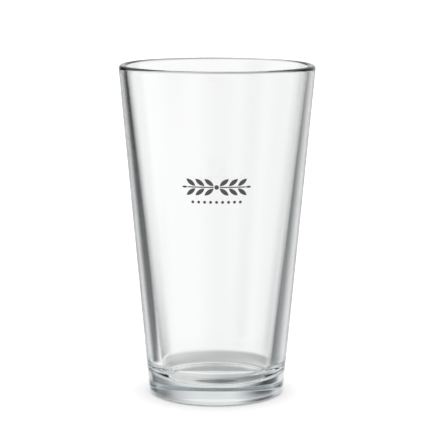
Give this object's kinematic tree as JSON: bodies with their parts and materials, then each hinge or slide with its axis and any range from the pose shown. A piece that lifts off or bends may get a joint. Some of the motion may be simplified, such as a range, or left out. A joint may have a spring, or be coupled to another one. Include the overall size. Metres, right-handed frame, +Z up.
{
  "type": "pint glass",
  "caption": "Straight-sided conical pint glass, wide at the mouth, with a rounded rim, a thick clear base and a small dark leaf ornament printed on the front.",
  "frame": {"origin": "middle of the foot, on the plane the glass stands on", "axes": "+Z up along the glass's axis, towards the mouth; the printed ornament faces -Y; +X to the right of someone who looks at the ornament"},
  "size_m": [0.0884, 0.0884, 0.15],
  "materials": {
    "clear_glass": "clear soda-lime glass, fire-polished",
    "fired_ink": "dark grey screen-printed ink, fired on, satin"
  },
  "bodies": {
    "root": {"tumbler": "clear_glass", "print_stem": "fired_ink", "print_leaves": "fired_ink", "print_berry": "fired_ink", "print_dots": "fired_ink"}
  },
  "joints": []
}
